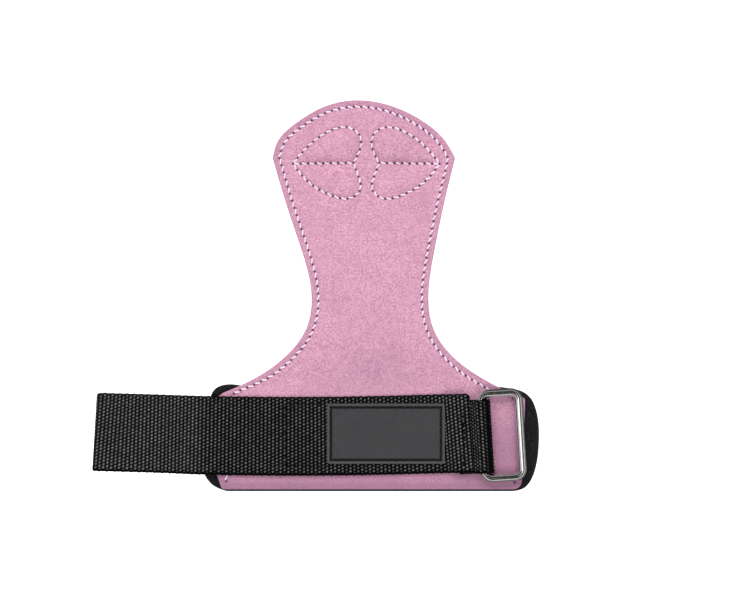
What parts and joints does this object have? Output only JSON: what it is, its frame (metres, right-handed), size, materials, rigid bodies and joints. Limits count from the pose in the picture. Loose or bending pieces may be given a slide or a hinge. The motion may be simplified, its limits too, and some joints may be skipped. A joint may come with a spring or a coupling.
{
  "type": "wrist support brace",
  "caption": "Leather palm grip with padded finger end, narrow neck and padded wrist band, closed by a webbing strap through a wire ring.",
  "frame": {"origin": "on the underside of the wrist pad, below the middle of the strap and on the middle of the tongue's neck", "axes": "+X along the wrist band towards the ring, +Y up the tongue towards the fingers, +Z out of the leather's face"},
  "size_m": [0.239, 0.21, 0.0149],
  "materials": {
    "suede": "pink split suede",
    "lining": "pink split suede lining",
    "neoprene": "matt black neoprene with a fine knitted face",
    "webbing": "black woven polyester webbing",
    "tape": "black hook and loop tape",
    "patch": "dark grey, matt, blank",
    "white_thread": "white polyester thread",
    "black_thread": "black polyester thread",
    "foam": "closed-cell foam",
    "steel": "polished nickel-plated wire"
  },
  "bodies": {
    "base": {"wrist_pad_base": "neoprene", "back_leather_base": "lining", "front_leather_base": "suede", "edge_thread_base": "white_thread", "strap_sewn_length": "webbing", "strap_thread": "black_thread", "keeper_tabs": "webbing", "label_patch": "patch", "label_thread": "black_thread"},
    "left_wing": {"wrist_pad_left": "neoprene", "back_leather_left": "lining", "front_leather_left": "suede", "edge_thread_left": "white_thread", "strap_over_left_wing": "webbing"},
    "right_wing": {"wrist_pad_right": "neoprene", "back_leather_right": "lining", "front_leather_right": "suede", "edge_thread_right": "white_thread", "keeper_loop": "webbing"},
    "ring": {"ring": "steel"},
    "palm": {"back_leather_palm": "lining", "front_leather_palm": "suede", "edge_thread_palm": "white_thread"},
    "head": {"back_leather_head": "lining", "front_leather_head": "suede", "edge_thread_head": "white_thread", "lobe_thread_left": "white_thread", "lobe_thread_right": "white_thread", "foam_pad_upper_left": "foam", "foam_pad_upper_right": "foam", "foam_pad_lower_left": "foam", "foam_pad_lower_right": "foam"},
    "tail": {"strap_tail": "webbing", "loop_tape": "tape"},
    "tip": {"strap_tip": "webbing", "hook_tape": "tape"}
  },
  "joints": [
    {"name": "left_wing_fold", "type": "hinge", "parent": "base", "child": "left_wing", "pos_m": [-0.047, 0, 0], "axis": [0, -1, 0], "range_deg": [0, 75]},
    {"name": "right_wing_fold", "type": "hinge", "parent": "base", "child": "right_wing", "pos_m": [0.0512, 0, 0], "axis": [0, 1, 0], "range_deg": [0, 75]},
    {"name": "ring_swing", "type": "hinge", "parent": "right_wing", "child": "ring", "pos_m": [0.06, -0.0007, 0.01075], "axis": [0.061, -0.9981, 0], "range_deg": [0, 140]},
    {"name": "palm_fold", "type": "hinge", "parent": "base", "child": "palm", "pos_m": [0, 0.06, 0.0026], "axis": [1, 0, 0], "range_deg": [0, 80]},
    {"name": "finger_fold", "type": "hinge", "parent": "palm", "child": "head", "pos_m": [0, 0.112, 0.0026], "axis": [1, 0, 0], "range_deg": [0, 110]},
    {"name": "tail_fold", "type": "hinge", "parent": "left_wing", "child": "tail", "pos_m": [-0.094, 0, 0.00666], "axis": [0, -1, 0], "range_deg": [-80, 60]},
    {"name": "tip_fold", "type": "hinge", "parent": "tail", "child": "tip", "pos_m": [-0.121, 0, -0.0002], "axis": [0, -1, 0], "range_deg": [0, 160]}
  ]
}
